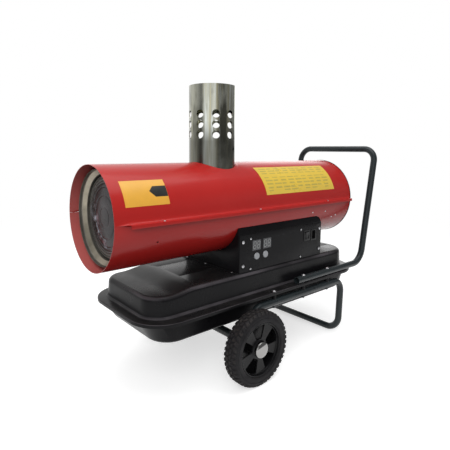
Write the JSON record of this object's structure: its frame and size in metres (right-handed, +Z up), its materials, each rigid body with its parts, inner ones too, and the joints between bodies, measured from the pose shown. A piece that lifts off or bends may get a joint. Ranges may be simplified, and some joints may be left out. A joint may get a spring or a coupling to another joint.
{
  "type": "indirect fired heater",
  "caption": "Wheeled oil-fired space heater: a red tube casing with a steel flue on a black fuel tank, with a rear tube handle and a side control box.",
  "frame": {"origin": "on the floor, under the middle of the overall length and on the centre plane", "axes": "+X from the hot air outlet towards the handle, -Y towards the side with the controls, +Z up"},
  "size_m": [1.1568, 0.5396, 0.925],
  "materials": {
    "red_enamel": "glossy red enamel on sheet steel",
    "black_enamel": "satin black enamel on sheet steel",
    "dark_grey_tube": "satin dark grey paint on steel tube",
    "polished_steel": "polished stainless sheet with weak heat tint",
    "dull_steel": "dull spun steel sheet",
    "zinc_plate": "bright zinc plate",
    "brass": "turned brass",
    "cast_iron": "dark painted casting",
    "alloy": "cast alloy",
    "tyre_rubber": "matte moulded rubber",
    "black_plastic": "black moulding",
    "gloss_black_plastic": "glossy black moulding",
    "grey_button": "light grey moulding",
    "circuit_board": "green laminate",
    "display_face": "dark display window",
    "ceramic": "white glazed ceramic",
    "nylon": "natural nylon",
    "fuel_hose": "black fuel-proof rubber",
    "chrome": "bright chrome plate"
  },
  "bodies": {
    "chassis": {"upper_casing": "red_enamel", "lower_casing": "red_enamel", "flue_stub": "polished_steel", "exchanger_drum": "dull_steel", "combustion_chamber": "dull_steel", "crossover_duct": "dull_steel", "burner_head": "dull_steel", "fuel_nozzle": "brass", "electrodes": "ceramic", "motor_body": "cast_iron", "front_bearing": "zinc_plate", "rear_bearing": "zinc_plate", "motor_bracket": "zinc_plate", "pump_housing": "alloy", "pump_cover": "alloy", "nozzle_pipe": "brass", "rear_guard": "black_enamel", "tank_upper": "black_enamel", "tank_lower": "black_enamel", "filler_neck": "black_enamel", "handle": "dark_grey_tube", "support_frame": "dark_grey_tube", "near_handle_bolt_1": "zinc_plate", "near_handle_bolt_2": "zinc_plate", "near_frame_bolt": "zinc_plate", "far_handle_bolt_1": "zinc_plate", "far_handle_bolt_2": "zinc_plate", "far_frame_bolt": "zinc_plate", "axle": "zinc_plate", "near_axle_nut": "zinc_plate", "far_axle_nut": "zinc_plate", "control_box": "black_enamel", "control_panel": "black_enamel", "panel_screw_1": "zinc_plate", "panel_screw_2": "zinc_plate", "panel_screw_3": "zinc_plate", "panel_screw_4": "zinc_plate", "control_board": "circuit_board", "digit_display": "display_face", "rocker_bezel": "black_plastic", "power_inlet": "black_plastic", "ignition_transformer": "black_plastic", "fuel_pickup": "brass", "fuel_filter": "nylon", "fuel_hose": "fuel_hose"},
    "rotor": {"fan": "alloy", "motor_shaft": "zinc_plate", "pump_rotor": "zinc_plate"},
    "near_wheel": {"near_tyre": "tyre_rubber", "near_rim": "gloss_black_plastic", "near_hub_cap": "chrome"},
    "far_wheel": {"far_tyre": "tyre_rubber", "far_rim": "gloss_black_plastic", "far_hub_cap": "chrome"},
    "rocker": {"power_rocker": "gloss_black_plastic"},
    "lower_button": {"lower_setting_button": "grey_button"},
    "raise_button": {"raise_setting_button": "grey_button"},
    "cap_lift_body": {"cap_seal": "fuel_hose"},
    "cap_turn_body": {"fuel_cap": "black_plastic"}
  },
  "joints": [
    {"name": "fan_spin", "type": "hinge", "parent": "chassis", "child": "rotor", "pos_m": [0.3795, 0, 0.527], "axis": [1, 0, 0], "continuous": true},
    {"name": "near_wheel_spin", "type": "hinge", "parent": "chassis", "child": "near_wheel", "pos_m": [-0.1605, -0.2623, 0.117], "axis": [0, 1, 0], "continuous": true},
    {"name": "far_wheel_spin", "type": "hinge", "parent": "chassis", "child": "far_wheel", "pos_m": [-0.1605, 0.2623, 0.117], "axis": [0, 1, 0], "continuous": true},
    {"name": "rocker_tilt", "type": "hinge", "parent": "chassis", "child": "rocker", "pos_m": [0.184, -0.145, 0.408], "axis": [1, 0, 0], "range_deg": [-16, 0]},
    {"name": "lower_button_press", "type": "slide", "parent": "chassis", "child": "lower_button", "axis": [0, 1, 0], "range_m": [0, 0.0015], "stiffness_N_per_m": 250, "springref_m": -0.001},
    {"name": "raise_button_press", "type": "slide", "parent": "chassis", "child": "raise_button", "axis": [0, 1, 0], "range_m": [0, 0.0015], "stiffness_N_per_m": 250, "springref_m": -0.001},
    {"name": "fuel_cap_lift", "type": "slide", "parent": "chassis", "child": "cap_lift_body", "axis": [0, 0, 1], "range_m": [0, 0.034]},
    {"name": "fuel_cap_turn", "type": "hinge", "parent": "cap_lift_body", "child": "cap_turn_body", "pos_m": [0.3515, 0.092, 0.3431], "axis": [0, 0, 1], "range_deg": [0, 90]}
  ]
}
